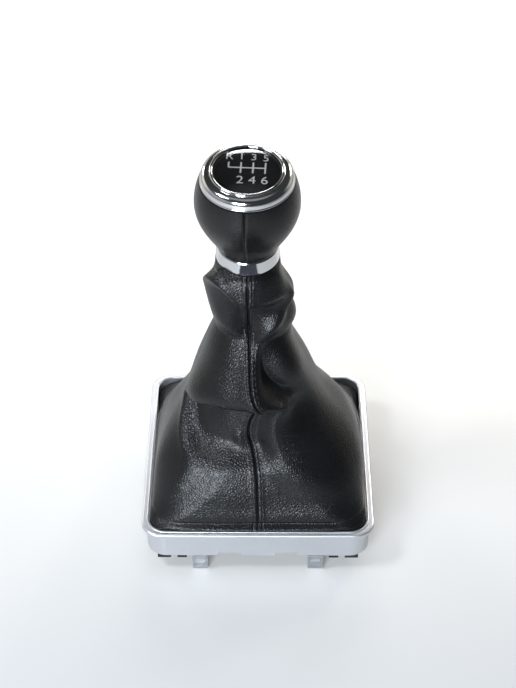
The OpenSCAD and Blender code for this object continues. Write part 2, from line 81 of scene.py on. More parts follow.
class GaiterSizes(bpy.types.PropertyGroup):
    roll_radius: FloatProperty(
        name="Upper roll", description="Radius of the roll under the collar",
        default=0.0232, unit="LENGTH",
    )
    roll_share: FloatProperty(
        name="Upper roll's place", description="How far up the neck the roll lies",
        default=0.68, min=0.5, max=0.8, subtype="FACTOR",
    )
    waist_radius: FloatProperty(
        name="Waist", description="Radius of the gaiter at its waist",
        default=0.0182, unit="LENGTH",
    )
    waist_height: FloatProperty(
        name="Waist height", description="Height of the waist",
        default=0.127, unit="LENGTH",
    )
    lower_roll: FloatProperty(
        name="Lower roll", description="How far the lower roll stands out",
        default=0.008, unit="LENGTH",
    )
    lower_roll_share: FloatProperty(
        name="Lower roll's place", description="How far up the skirt the lower roll lies",
        default=0.77, min=0.6, max=0.9, subtype="FACTOR",
    )
    seam_hollow: FloatProperty(
        name="Seam valley", description="Depth of the valley beside the front seam",
        default=0.0055, unit="LENGTH",
    )
    thickness: FloatProperty(
        name="Leather", description="Thickness of the gaiter leather",
        default=0.0012, unit="LENGTH",
    )
    columns: IntProperty(
        name="Columns", description="Mesh columns round the gaiter", default=300, min=60, max=400
    )
    stitch_length: FloatProperty(
        name="Stitch", description="Length of a stitch", default=0.0024, unit="LENGTH"
    )
    stitch_pitch: FloatProperty(
        name="Stitch pitch", description="Distance from stitch to stitch",
        default=0.0032, unit="LENGTH",
    )
    stitch_offset: FloatProperty(
        name="Stitch row", description="Distance of a row of stitches from the seam",
        default=0.0024, unit="LENGTH",
    )


class KnobSizes(bpy.types.PropertyGroup):
    ball_radius: FloatProperty(
        name="Ball", description="Radius of the knob at its widest", default=0.0258, unit="LENGTH"
    )
    ball_height: FloatProperty(
        name="Ball height", description="Height of the widest place above the knob's foot",
        default=0.0355, unit="LENGTH",
    )
    foot_radius: FloatProperty(
        name="Foot", description="Radius of the leather at the collar",
        default=0.0153, unit="LENGTH",
    )
    foot_height: FloatProperty(
        name="Foot height", description="Height of the leather's lower edge",
        default=0.008, unit="LENGTH",
    )
    shoulder_radius: FloatProperty(
        name="Shoulder", description="Radius of the leather under the bezel",
        default=0.0232, unit="LENGTH",
    )
    shoulder_height: FloatProperty(
        name="Shoulder height", description="Height of the leather's upper edge",
        default=0.049, unit="LENGTH",
    )
    seam_depth: FloatProperty(
        name="Seam", description="How deep the seams between the two halves sink in",
        default=0.0005, unit="LENGTH",
    )
    figure_size: FloatProperty(
        name="Figures", description="Size of the figures on the plate",
        default=0.0074, unit="LENGTH",
    )
    line_width: FloatProperty(
        name="Gate lines", description="Width of the lines on the plate",
        default=0.0008, unit="LENGTH",
    )


class Finishes(bpy.types.PropertyGroup):
    gaiter_colour: FloatVectorProperty(
        name="Gaiter leather", description="Colour of the gaiter",
        subtype="COLOR", default=(0.006, 0.006, 0.0068), min=0, max=1,
    )
    knob_colour: FloatVectorProperty(
        name="Knob leather", description="Colour of the knob's leather",
        subtype="COLOR", default=(0.005, 0.005, 0.0052), min=0, max=1,
    )
    silver_colour: FloatVectorProperty(
        name="Satin silver", description="Colour of the trim frame's paint",
        subtype="COLOR", default=(0.70, 0.71, 0.74), min=0, max=1,
    )
    chrome_colour: FloatVectorProperty(
        name="Chrome", description="Colour of the collar and the bezel",
        subtype="COLOR", default=(0.82, 0.83, 0.85), min=0, max=1,
    )
    figure_colour: FloatVectorProperty(
        name="Figures", description="Colour of the shift pattern",
        subtype="COLOR", default=(0.80, 0.80, 0.79), min=0, max=1,
    )
    floor_colour: FloatVectorProperty(
        name="Floor", description="Colour of the floor",
        subtype="COLOR", default=(0.62, 0.62, 0.62), min=0, max=1,
    )


# Mesh helpers


def deselect_all():
    if bpy.context.mode != "OBJECT":
        bpy.ops.object.mode_set(mode="OBJECT")
    for other in bpy.context.selected_objects:
        other.select_set(False)


def pick(piece):
    """Makes one piece the only selected one and the active one."""
    deselect_all()
    piece.select_set(True)
    bpy.context.view_layer.objects.active = piece


def edit_all():
    bpy.ops.object.mode_set(mode="EDIT")
    bpy.ops.mesh.select_all(action="SELECT")


def keep_place_in_mesh(piece):
    pick(piece)
    bpy.ops.object.transform_apply(location=True, rotation=True, scale=True)


def joined(pieces, name):
    pick(pieces[0])
    for piece in pieces[1:]:
        piece.select_set(True)
    if len(pieces) > 1:
        bpy.ops.object.join()
    piece = bpy.context.object
    piece.name = piece.data.name = name
    return piece


def grid(name, columns, rows):
    """A flat grid whose vertices run from 0 to 1 in u and v, and those u and v."""
    deselect_all()
    bpy.ops.mesh.primitive_grid_add(x_subdivisions=columns, y_subdivisions=rows, size=1)
    piece = bpy.context.object
    piece.name = piece.data.name = name
    flat = np.empty(len(piece.data.vertices) * 3)
    piece.data.vertices.foreach_get("co", flat)
    flat = flat.reshape(-1, 3) + 0.5
    return piece, np.clip(flat[:, 0], 0, 1), np.clip(flat[:, 1], 0, 1)


def set_points(piece, points):
    piece.data.vertices.foreach_set("co", np.asarray(points, float).ravel())
    piece.data.update()


def set_attribute(piece, name, values, kind="FLOAT"):
    values = np.asarray(values, np.float32)
    layer = piece.data.attributes.new(name, kind, "POINT")
    layer.data.foreach_set("vector" if kind == "FLOAT_VECTOR" else "value", values.ravel())


def close_seams(piece):
    pick(piece)
    edit_all()
    bpy.ops.mesh.remove_doubles(threshold=2e-6)
    bpy.ops.object.mode_set(mode="OBJECT")
    bpy.ops.object.shade_smooth()


def give_wall(piece, thickness):
    pick(piece)
    wall = piece.modifiers.new("wall", "SOLIDIFY")
    wall.thickness = thickness
    wall.offset = -1
    bpy.ops.object.modifier_apply(modifier=wall.name)
    bpy.ops.object.shade_smooth_by_angle(angle=math.radians(50))


def in_bands(bands):
    """Heights from bands of (from, to, steps)."""
    heights = [np.linspace(low, high, steps, endpoint=False) for low, high, steps in bands]
    return np.concatenate(heights + [[bands[-1][1]]])


# The gaiter's surface


def hump(d, width):
    return np.exp(-((d / width) ** 2))


def ease(t):
    t = np.clip(t, 0, 1)
    return t * t * (3 - 2 * t)


def turn(a):
    return (a + 180) % 360 - 180


def sin(degrees):
    return np.sin(np.radians(degrees))


def cos(degrees):
    return np.cos(np.radians(degrees))


class GaiterSurface:
    """The folded leather as a function of an angle, 0 in front and 90 on the right, and a height.

    Folds lie at levels: 0 at the rim's top, 100 at the waist and 143 at the collar. Most are a
    depth in millimetres times a hump over the level and a hump over the angle.
    """

    rim_top, neck, neck_level = 27.9, 170.4, 143
    hem, head = 16.9, 174.3
    hem_x, hem_y, hem_corner, hem_gap = 57.6, 59.2, 8.6, 0.4
    shoulder_out, tied_in = 16.2, 14.3
    neck_x, neck_y, lean = -5.2, -4.2, 6.8

    def __init__(self, sizes):
        self.roll = sizes.roll_radius / MM
        self.waist = sizes.waist_radius / MM
        self.waist_h = sizes.waist_height / MM
        self.lower_roll = sizes.lower_roll / MM
        self.valley = sizes.seam_hollow / MM
        self.roll_level = 100 + (self.neck_level - 100) * sizes.roll_share
        self.lip_level = 100 * sizes.lower_roll_share

    def level(self, h):
        below = 100 * (h - self.rim_top) / (self.waist_h - self.rim_top)
        above = 100 + (self.neck_level - 100) * (h - self.waist_h) / (self.neck - self.waist_h)
        return np.where(h < self.waist_h, below, above)

    def skirt(self, a, lv):
        """Round at the waist, squarish at the frame, full in front and slack behind."""
        t = np.clip(1 - lv / 100, 0, 1)
        rear = ease((np.abs(a) - 60) / 70)
        front = ease((60 - np.abs(a + 6)) / 40)
        full = 0.17 * (1 - rear) * (1 - 0.9 * front) * hump(t - 0.74, 0.22) * (1 - t**12)
        dip = 0.07 * rear * hump(t - 0.55, 0.22)
        rx = self.waist + (self.hem_x - self.waist) * (t + 0.8 * full - dip)
        ry = self.waist + (self.hem_y - self.waist) * (t**0.86 + 0.6 * full - dip)
        rc = rx + (self.hem_corner - rx) * t ** (3 + 2 * rear)
        s, c = np.abs(sin(a)), np.abs(cos(a))
        cx, cy = rx - rc, ry - rc
        mid = cx * s + cy * c
        corner = mid + np.sqrt(np.maximum(0, mid * mid - cx * cx - cy * cy + rc * rc))
        side = np.where(c * rx <= cy * s, rx / np.maximum(s, 1e-9), corner)
        return np.where(s * ry <= cx * c, ry / np.maximum(c, 1e-9), side)

    def crest_at(self, a):
        left = 9 * ease((-4 - a) / 36) * ease((a + 100) / 50) - 10 * ease((-65 - a) / 50)
        right = 9 * ease((a - 42) / 50) + ease((a - 95) / 40)
        return self.roll_level + left - right

    def neck_bag(self, a, lv):
        crest, top = self.crest_at(a), self.neck_level - 0.6
        hug = ease((np.abs(a - 4) - 50) / 50)
        up_share = np.clip((top - lv) / (top - crest), 0, 1) ** (0.72 + 1.9 * hug)
        down_share = np.clip((lv - 100) / (crest - 100), 0, 1) ** 1.1
        roll = self.roll + 0.4 - 1.5 * hug * ease((np.abs(a) - 100) / 40)
        up = self.shoulder_out + (roll - self.shoulder_out) * up_share
        down = self.waist + (roll - self.waist) * down_share
        soft = 1.2
        both = -soft * np.log(np.exp(-up / soft) + np.exp(-down / soft))
        return both - (self.shoulder_out - self.tied_in) * ease((lv - self.neck_level + 2.4) / 2.2)

    def roll_end(self, lv):
        return 9 + 13 * hump(lv - 69, 8)

    def roll_amount(self, a, lv):
        return self.lower_roll * ease((a + 92) / 45) * (1 - ease((a - self.roll_end(lv)) / 9))

    def roll_crest(self, a):
        return self.lip_level - 0.002 * np.clip(-a, 0, 90) ** 2

    def crease_at(self, lv):
        return -37 - 1.3 * np.clip(lv - 34.5, 0, 24) - 0.25 * np.clip(28.5 - lv, 0, 20)

    def neck_folds(self, a, lv):
        crest = self.crest_at(a)
        right = hump(turn(a - 92), 48)
        ridge = 0.5 * hump(lv - crest - 0.5, 3) * hump(a, 75)
        dent = 6.5 * ease((crest - 1.5 - lv) / 7) * ease((lv - 99) / 8)
        dent = dent * hump(a + 2, 11 + 1.5 * np.maximum(0, lv - 101))
        side = right * (4.2 * hump(lv - 105, 8) - 1.6 * hump(lv - 116, 4) + 0.9 * hump(lv - 124, 6))
        waist = 1.5 * hump(lv - 100, 6) * (hump(turn(a + 25), 60) - hump(turn(a - 110), 35))
        strip = 2.6 * hump(lv - 99 - 0.38 * (a - 10), 5) * ease((a - 2) / 14) * ease((80 - a) / 20)
        return ridge - dent + side - waist + strip

    def middle_folds(self, a, lv):
        mid = ease((101 - lv) / 24) * ease((lv - 67) / 9)
        e = a - self.roll_end(lv) - 3 - 0.4 * np.maximum(0, lv - 77)
        valley = self.valley * hump(e, np.where(e < 0, 6, 17))
        cheek = 3.5 * hump(lv - 84, 13) * hump(a - 52, 22)
        return mid * (2.8 * hump(a + 2, 9) - valley) + cheek

    def roll_folds(self, a, lv):
        low = self.roll_crest(a) - lv
        under = ease((a - self.crease_at(lv) + 11) / 13) * (1 - ease((a - 6) / 14))
        under = under * ease((low - 5) / 6) * ease((lv - 30) / 14)
        beside = 3.5 * hump(lv - 62, 11) * hump(a - 40, 13)
        return self.roll_amount(a, lv) * hump(low, 10) - 7.0 * under - beside

    def foot_folds(self, a, lv):
        fade = ease((lv - 6) / 16) * ease((67 - lv) / 12)
        return (
            1.5 * hump(a - self.crease_at(lv) + 4, 7) * fade
            + 1.2 * hump(lv - 16, 12) * hump(a + 19, 18)
            - 3.5 * hump(lv - 38, 13) * hump(a + 6, 34)
            + 2 * hump(lv - 44.5, 5) * hump(a + 8, 6)
            + 1.8 * hump(lv - 39.5 + 0.45 * (a - 3), 9) * hump(a - 20, 20) * ease((a + 4) / 14)
            - 1.2 * hump(lv - 20 + 0.3 * (a - 20), 10) * hump(a - 30, 20)
            + 3.5 * hump(lv - 27, 15) * hump(a - 85, 30)
        )

    def rear_folds(self, a, lv):
        back = hump(turn(a - 180), 50) * (hump(lv - 69, 10) - 0.8 * hump(lv - 53, 9))
        right = 0.9 * hump(lv - 36, 12) * hump(turn(a - 120), 22)
        left = 0.7 * hump(lv - 34, 12) * hump(turn(a + 118), 22)
        pocket = ease((lv + 5) / 6) * hump(lv - 1, 11) * hump(np.abs(a) - 136, 15)
        return 2.2 * (back + right + left) - 6 * pocket

    def welt(self, a, h):
        """Rolled edge where the leather leaves the frame, lying over the rim in front."""
        u = h - self.rim_top
        front = ease((44 - np.abs(a)) / 14)
        band = (0.7 + 2 * front) * hump(u - 1.6, 1.9)
        puff = 1.2 * front * hump(u - 7, 5)
        groove = (0.3 + 0.6 * front) * hump(u - 4, 0.8)
        return ease((u - self.hem_gap) / 0.8) * (band + puff - groove)

    def radius(self, a, h):
        lv = self.level(h)
        plain = np.where(h < self.waist_h, self.skirt(a, lv), self.neck_bag(a, lv))
        folds = self.neck_folds(a, lv) + self.middle_folds(a, lv) + self.roll_folds(a, lv)
        return plain + folds + self.foot_folds(a, lv) + self.rear_folds(a, lv) + self.welt(a, h)

    def seam_ridge(self, a, h, radius):
        """The turned-in leather beside the front and rear seams, and the line between."""
        away = np.abs(radius * sin(a))
        free = ease((h - self.rim_top - 3) / 5) * ease((self.neck - 3 - h) / 4)
        return free * (0.45 * hump(away - 1.6, 1.5) - 0.35 * hump(away, 0.45))

    def points(self, a, h, proud=0.0):
        a, h = np.broadcast_arrays(turn(np.asarray(a, float)), np.asarray(h, float))
        lv = self.level(h)
        r = self.radius(a, h)
        r = r + self.seam_ridge(a, h, r) + proud
        sag = 0.42 * self.roll_amount(a, lv) * hump(lv - self.roll_crest(a) + 2, 10)
        up = h - sag - self.neck
        w = ease(lv / self.roll_level)
        lean = self.lean * ease((lv - 105) / 30)
        pull = (6 * hump(lv - 69.5, 8) - 3.4 * hump(lv - 48.5, 11)) * hump(a, 38)
        pull = pull * ease((101 - lv) / 20)
        x = self.neck_x * w + r * sin(a) + pull
        y = self.neck_y * w - r * cos(a) * cos(lean) - up * sin(lean)
        z = self.neck + up * cos(lean) - r * cos(a) * sin(lean)
        return np.stack((x, y, z), -1) * MM

    def seam_distance(self, a, h):
        """Distance in metres from the nearer seam, negative on the left of it."""
        return self.radius(a, h) * sin(a) * np.where(np.abs(a) > 90, -1, 1) * MM


# The gaiter is in two pieces, and they meet here
MEETING_H = 74.0
WELT_TOP, TIE_FOOT = 34.5, 168
# Rows of the mesh, as bands of (from, to, steps) in millimetres
LOWER_BANDS = (
    (GaiterSurface.hem, GaiterSurface.rim_top, 9),
    (GaiterSurface.rim_top, WELT_TOP, 26),
    (WELT_TOP, MEETING_H, 68),
)
UPPER_BANDS = (
    (MEETING_H, 100, 46), (100, 118, 24), (118, TIE_FOOT, 70), (TIE_FOOT, GaiterSurface.head, 9),
)


def bend_with_lever(piece, lower):
    """Bakes the piece's place into its mesh, alike for the lower and the upper piece."""
    if lower:
        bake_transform(piece)
    else:
        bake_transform(piece)


class MESH_OT_gaiter_skin(bpy.types.Operator):
    """Folded leather between the trim frame and the collar, in a lower and an upper piece"""

    bl_idname = "mesh.gaiter_skin"
    bl_label = "Gaiter skin"

    def execute(self, context):
        sizes = context.scene.gaiter_sizes
        surface = GaiterSurface(sizes)
        for name, bands in (("gaiter_skin_lower", LOWER_BANDS), ("gaiter_skin_upper", UPPER_BANDS)):
            heights = in_bands(bands)
            skin, u, v = grid(name, sizes.columns, len(heights) - 1)
            t = 2 * u - 1
            a = 180 * (0.42 * t + 0.58 * t**3)
            h = np.interp(v, np.linspace(0, 1, len(heights)), heights)
            points = surface.points(a, h)
            set_points(skin, points)
            set_attribute(skin, "rest", points, "FLOAT_VECTOR")
            set_attribute(skin, "seam", surface.seam_distance(a, h))
            close_seams(skin)
            give_wall(skin, sizes.thickness)
            skin.data.materials.append(gaiter_leather(context.scene.finishes))
            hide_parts("gaiter_left", "gaiter_right")
            lower = bands is LOWER_BANDS
            wall_area(skin)
            bend_with_lever(skin, lower)
        return {"FINISHED"}


def wall_area(skin):
    """Area of one face of a walled sheet, in square metres."""
    faces = skin.data.polygons
    areas = np.empty(len(faces))
    faces.foreach_get("area", areas)
    return float(areas.sum() / 2)


STITCH_WIDTH, STITCH_RISE, STITCH_LIFT = 0.00055, 0.00045, 0.00002
STITCHES_FROM, STITCHES_TO = 34.0, 166.5


def one_stitch(sizes):
    """A short twisted stitch along +Y, lying on the surface, with +Z away from it."""
    deselect_all()
    bpy.ops.mesh.primitive_uv_sphere_add(segments=8, ring_count=6, radius=0.5)
    stitch = bpy.context.object
    stitch.scale = (STITCH_WIDTH, sizes.stitch_length, STITCH_RISE)
    keep_place_in_mesh(stitch)
    bpy.ops.object.shade_smooth()
    return stitch


def stitch_places(surface, sizes, side, rear, low, high):
    """Matrices of the stitches of one row beside a seam."""
    offset = side * sizes.stitch_offset / MM
    h = np.linspace(low, high, 900)
    middle = 180.0 if rear else 0.0
    a = np.degrees(np.arcsin(offset / surface.radius(np.full_like(h, middle), h)))
    a = turn(middle - a) if rear else a
    points = surface.points(a, h)
    run = np.concatenate([[0], np.cumsum(np.linalg.norm(np.diff(points, axis=0), axis=1))])
    beside = surface.points(a + 0.5, h)
    places = []
    for s in np.arange(sizes.stitch_pitch / 2, run[-1], sizes.stitch_pitch):
        i = int(np.searchsorted(run, s))
        j, k = max(i - 6, 0), min(i + 6, len(h) - 1)
        along = Vector(points[k] - points[j]).normalized()
        across = Vector(beside[i] - points[i]).normalized()
        out = across.cross(along).normalized()
        across = along.cross(out)
        place = Matrix.Identity(4)
        for column, axis in enumerate((across, along, out)):
            place.col[column][:3] = axis
        place.translation = Vector(points[i]) + out * STITCH_LIFT
        places.append(place)
    return places


class MESH_OT_gaiter_stitches(bpy.types.Operator):
    """Double rows of stitches beside the front and the rear seam of the gaiter"""

    bl_idname = "mesh.gaiter_stitches"
    bl_label = "Gaiter stitches"

    def execute(self, context):
        sizes = context.scene.gaiter_sizes
        surface = GaiterSurface(sizes)
        thread = thread_finish()
        spans = (
            ("gaiter_stitches_lower", STITCHES_FROM, MEETING_H),
            ("gaiter_stitches_upper", MEETING_H, STITCHES_TO),
        )
        for name, low, high in spans:
            model = one_stitch(sizes)
            copies = []
            for rear in (False, True):
                for side in (-1, 1):
                    for place in stitch_places(surface, sizes, side, rear, low, high):
                        copy = model.copy()
                        copy.data = model.data.copy()
                        copy.data.transform(place)
                        context.collection.objects.link(copy)
                        copies.append(copy)
            bpy.data.objects.remove(model)
            stitches = joined(copies, name)
            stitches.data.materials.append(thread)
            bend_with_lever(stitches, low < MEETING_H)
        return {"FINISHED"}


# The knob


def knob_radius(sizes, h):
    """Radius of the leather knob at a height above its foot, in metres."""
    rise = np.clip((h - sizes.foot_height) / (sizes.ball_height - sizes.foot_height), 0, 1)
    drop = np.clip((h - sizes.ball_height) / (sizes.shoulder_height - sizes.ball_height), 0, 1)
    curve = np.sin(rise * math.pi / 2) ** 1.3
    low = sizes.foot_radius + (sizes.ball_radius - sizes.foot_radius) * curve
    high = sizes.ball_radius - (sizes.ball_radius - sizes.shoulder_radius) * drop**2
    return np.where(h < sizes.ball_height, low, high)


KNOB_LEATHER, KNOB_COLUMNS, KNOB_ROWS, KNOB_FLAT = 0.0011, 120, 90, (0.085, 0.062)
# Half-width of the seam's groove, and the height, place and half-width of the swelling beside it
GROOVE_MM, SWELLING, SWELLING_AT_MM, SWELLING_MM = 0.55, 0.00012, 1.7, 1.2


class MESH_OT_knob_leather(bpy.types.Operator):
    """The two leather halves of the knob, sewn together in front and behind"""

    bl_idname = "mesh.knob_leather"
    bl_label = "Knob leather"

    def execute(self, context):
        sizes = context.scene.knob_sizes
        for name, side in (("knob_leather_left", -1), ("knob_leather_right", 1)):
            skin, u, v = grid("skin_" + name, KNOB_COLUMNS, KNOB_ROWS)
            t = 2 * u - 1
            a = 90 + 90 * (t + 0.12 * np.sin(t * math.pi))
            h = sizes.foot_height + (sizes.shoulder_height - sizes.foot_height) * v
            r = knob_radius(sizes, h)
            away = r * np.abs(sin(a))
            swelling = SWELLING * hump(away / MM - SWELLING_AT_MM, SWELLING_MM)
            r = r - sizes.seam_depth * hump(away / MM, GROOVE_MM) + swelling
            x, y = side * r * sin(a), -r * cos(a)
            local = np.stack((x, y, h, np.ones_like(h)), -1)
            points = (local @ np.array(LEVER).T)[:, :3]
            set_points(skin, points)
            set_attribute(skin, "seam", away)
            close_seams(skin)
            if side < 0:
                edit_all()
                bpy.ops.mesh.flip_normals()
                bpy.ops.object.mode_set(mode="OBJECT")
            give_wall(skin, KNOB_LEATHER)
            skin.data.materials.append(knob_leather(context.scene.finishes))
            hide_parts(name)
            wall_area(skin)
            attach(skin, "knob")
        return {"FINISHED"}


def arc(middle, radii, start, end, steps):
    """Points of (radius, height) in millimetres along part of an ellipse, angles in degrees."""
    turns = np.linspace(start, end, steps)
    return [(middle[0] + radii[0] * cos(t), middle[1] + radii[1] * sin(t)) for t in turns]


def turned(name, outline):
    """Extrudes a vertex along an outline in millimetres and spins it round the knob's axis."""
    deselect_all()
    bpy.ops.mesh.primitive_plane_add(size=MM)
    piece = bpy.context.object
    piece.name = piece.data.name = name
    edit_all()
    bpy.ops.mesh.merge(type="CENTER")
    places = [Vector((r, 0, z)) * MM for r, z in outline]
    bpy.ops.transform.translate(value=places[0])
    for before, place in zip(places, places[1:]):
        bpy.ops.mesh.extrude_vertices_move(TRANSFORM_OT_translate={"value": place - before})
    bpy.ops.mesh.select_all(action="SELECT")
    bpy.ops.mesh.spin(steps=144, angle=math.tau, center=(0, 0, 0), axis=(0, 0, 1))
    bpy.ops.mesh.select_all(action="SELECT")
    bpy.ops.mesh.remove_doubles(threshold=1e-6)
    bpy.ops.mesh.normals_make_consistent(inside=False)
    bpy.ops.object.mode_set(mode="OBJECT")
    piece.data.transform(LEVER)
    bpy.ops.object.shade_smooth_by_angle(angle=math.radians(40))
    return piece


# Sections of the bezel and the lens in millimetres, as in the part's source but with rounder
# corners, and with the lens open below, so that no light is caught inside it
BEZEL_FOOT, BEZEL_TOP, BEZEL_R = 49.05, 55.6, 22.9
LIP_R, BAND_IN, SEAT_R, SEAT_TOP = 17.3, 19.2, 19.6, 52.4
LENS_BASE, LENS_EDGE, LENS_R, LENS_RISE, LENS_WALL = 53.85, 54.65, 16.35, 2.0, 0.35


class MESH_OT_bezel_and_lens(bpy.types.Operator):
    """The plated bezel with its foot bead, convex band and inner lip, and the domed clear lens"""

    bl_idname = "mesh.bezel_and_lens"
    bl_label = "Bezel and lens"

    def execute(self, context):
        outline = [(BEZEL_R - 0.9, BEZEL_FOOT)]
        outline += arc((BEZEL_R - 0.5, BEZEL_FOOT + 0.55), (0.5, 0.5), -70, 60, 9)
        outline += arc((BAND_IN, BEZEL_FOOT + 1.35), (BEZEL_R - 0.35 - BAND_IN, 4.3), 0, 94, 26)
        outline += [(BAND_IN - 0.4, BEZEL_TOP - 1.35), (LIP_R + 0.85, BEZEL_TOP - 1.25)]
        outline += arc((LIP_R, BEZEL_TOP - 0.75), (0.8, 0.75), -20, 190, 17)
        outline += [(LIP_R - 0.8, 53.1), (LIP_R, 52.9), (SEAT_R, SEAT_TOP), (SEAT_R, BEZEL_FOOT)]
        bezel = turned("bezel", outline + outline[:1])
        bezel.data.materials.append(chrome(context.scene.finishes))
        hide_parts("bezel_ring")
        u = np.linspace(1, 0, 25)
        rise = LENS_RISE * (1 - u * u)
        dome = list(zip(LENS_R * u, LENS_EDGE + rise))
        inner_r = LENS_R - LENS_WALL
        hollow = list(zip(inner_r * u, LENS_EDGE - LENS_WALL + rise))[::-1]
        lens = turned("lens", hollow + [(inner_r, LENS_BASE), (LENS_R, LENS_BASE)] + dome)
        lens.data.materials.append(clear_lens())
        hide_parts("pattern_lens")
        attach(bezel, "knob")
        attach(lens, "knob")
        return {"FINISHED"}


# Gate lines and figures on the plate, in metres from the knob's axis
PLATE_TOP, LINE_PRINT, FIGURE_PRINT = 0.05381, 0.00003, 0.000015
LANES = (-0.0091, -0.0032, 0.0026, 0.0084)
BAR_Y, LANE_UP, LANE_DOWN = 0.0029, 0.0038, 0.0038
UPPER_ROW = (0.0105, 0.0107, 0.0103, 0.0098)
LOWER_ROW, UPPER_SHARE = -0.0058, 0.86


def plate_bar(x0, x1, y0, y1, width):
    """A printed line with round ends from one place on the plate to another."""
    deselect_all()
    bpy.ops.mesh.primitive_plane_add(size=1, location=((x0 + x1) / 2, (y0 + y1) / 2, PLATE_TOP))
    line = bpy.context.object
    line.scale = (max(abs(x1 - x0), width), max(abs(y1 - y0), width), 1)
    keep_place_in_mesh(line)
    edit_all()
    bpy.ops.mesh.bevel(offset=width * 0.35, segments=3, affect="VERTICES")
    bpy.ops.mesh.extrude_region_move(TRANSFORM_OT_translate={"value": (0, 0, LINE_PRINT)})
    bpy.ops.object.mode_set(mode="OBJECT")
    return line


def figure(text, x, y, size):
    deselect_all()
    bpy.ops.object.text_add(location=(x, y, PLATE_TOP))
    letter = bpy.context.object
    letter.data.body = text
    letter.data.size = size
    letter.data.align_x = "CENTER"
    letter.data.align_y = "CENTER"
    letter.data.extrude = FIGURE_PRINT
    bpy.ops.object.convert(target="MESH")
    letter = bpy.context.object
    keep_place_in_mesh(letter)
    return letter


class MESH_OT_shift_pattern(bpy.types.Operator):
    """The printed shift pattern under the clear lens: gate lines, and the gears' figures"""

    bl_idname = "mesh.shift_pattern"
    bl_label = "Shift pattern"

    def execute(self, context):
        sizes = context.scene.knob_sizes
        width, size = sizes.line_width, sizes.figure_size
        lines = [plate_bar(LANES[0], LANES[-1], BAR_Y, BAR_Y, width)]
        for i, x in enumerate(LANES):
            low = BAR_Y if i == 0 else BAR_Y - LANE_DOWN
            lines.append(plate_bar(x, x, low, BAR_Y + LANE_UP, width))
        upper = zip("R135", LANES, UPPER_ROW)
        figures = [figure(text, x, y, size * UPPER_SHARE) for text, x, y in upper]
        figures += [figure(text, x, LOWER_ROW, size) for text, x in zip("246", LANES[1:])]
        paint = printed_white(context.scene.finishes)
        for parts, name in ((lines, "pattern_lines"), (figures, "pattern_figures")):
            piece = joined(parts, name)
            piece.data.transform(LEVER)
            piece.data.materials.append(paint)
            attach(piece, "knob")
        return {"FINISHED"}


# Finishes


class Value:
    """Wraps a node's socket, so that shader maths reads as Python."""

    def __init__(self, shader, socket):
        self.shader, self.socket = shader, socket

    def maths(self, operation, *others):
        return self.shader.node("ShaderNodeMath", {"operation": operation}, *others)

    def __add__(self, other):
        return self.maths("ADD", self, other)

    def __radd__(self, other):
        return self.maths("ADD", other, self)

    def __sub__(self, other):
        return self.maths("SUBTRACT", self, other)

    def __rsub__(self, other):
        return self.maths("SUBTRACT", other, self)

    def __mul__(self, other):
        return self.maths("MULTIPLY", self, other)

    def __truediv__(self, other):
        return self.maths("DIVIDE", self, other)

    def __abs__(self):
        return self.maths("ABSOLUTE", self)

    def __neg__(self):
        return self.maths("MULTIPLY", self, -1.0)

    def hump(self, middle, width):
        """A soft bump of 1 at the middle, with that half-width."""
        away = (self - middle) / width
        return self.maths("EXPONENT", -(away * away))

    def step(self, start, end):
        """0 before start, 1 after end, smooth between."""
        return self.shader.node(
            "ShaderNodeMapRange", {"interpolation_type": "SMOOTHSTEP"},
            Value=self, From_Min=start, From_Max=end,
        )


class Nodes:
    """A node tree, and the nodes that a finish or the room's light is made of."""

    def __init__(self, owner):
        owner.use_nodes = True
        self.tree = owner.node_tree

    def node(self, kind, settings=None, *unnamed, output=0, **sockets):
        """Adds a node: its settings first, then the values or links of its sockets."""
        node = self.tree.nodes.new(kind)
        for name, value in (settings or {}).items():
            setattr(node, name, value)
        for place, value in enumerate(unnamed):
            self.give(node.inputs[place], value)
        for name, value in sockets.items():
            self.give(node.inputs[name.replace("_", " ")], value)
        return Value(self, node.outputs[output])

    def give(self, socket, value):
        if isinstance(value, Value):
            self.tree.links.new(value.socket, socket)
        else:
            socket.default_value = value

    def attribute(self, name, output=2):
        return self.node("ShaderNodeAttribute", {"attribute_name": name}, output=output)

    def noise(self, where, size, detail=2.0, roughness=0.5):
        """Cloudy noise from 0 to 1 with features of that size in metres."""
        return self.node(
            "ShaderNodeTexNoise", Vector=where, Scale=1 / size, Detail=detail, Roughness=roughness
        )

    def cells(self, where, size, feature="DISTANCE_TO_EDGE"):
        return self.node(
            "ShaderNodeTexVoronoi", {"feature": feature},
            Vector=where, Scale=1 / size, Randomness=0.9,
        )

    def mix(self, share, first, second):
        """Mixes two colours."""
        node = self.tree.nodes.new("ShaderNodeMix")
        node.data_type = "RGBA"
        self.give(node.inputs[0], share)
        for socket, colour in ((node.inputs[6], first), (node.inputs[7], second)):
            self.give(socket, (*colour, 1) if isinstance(colour, tuple) else colour)
        return Value(self, node.outputs[2])


# Ends the name of every finish made here: the loaded nodes' plain ones have the slots' names
FINISH = "_finish"


def ready(name):
    """The finish of that name, if it has been made."""
    return bpy.data.materials.get(name + FINISH)


class Shader(Nodes):
    """A material's node tree with one Principled shader."""

    def __init__(self, name, **constants):
        self.material = bpy.data.materials.new(name + FINISH)
        super().__init__(self.material)
        self.surface = self.tree.nodes["Principled BSDF"]
        for socket, value in constants.items():
            self.surface.inputs[socket.replace("_", " ")].default_value = value

    def feed(self, **sockets):
        for name, value in sockets.items():
            self.give(self.surface.inputs[name.replace("_", " ")], value)

    def place(self):
        """Where a point is: in the object's own frame."""
        return self.node("ShaderNodeTexCoord", output=3)

    def bump(self, height, distance, strength):
        """Gives the surface relief: height is from 0 to 1, distance its depth in metres."""
        normal = self.node("ShaderNodeBump", Strength=strength, Distance=distance, Height=height)
        self.feed(Normal=normal)


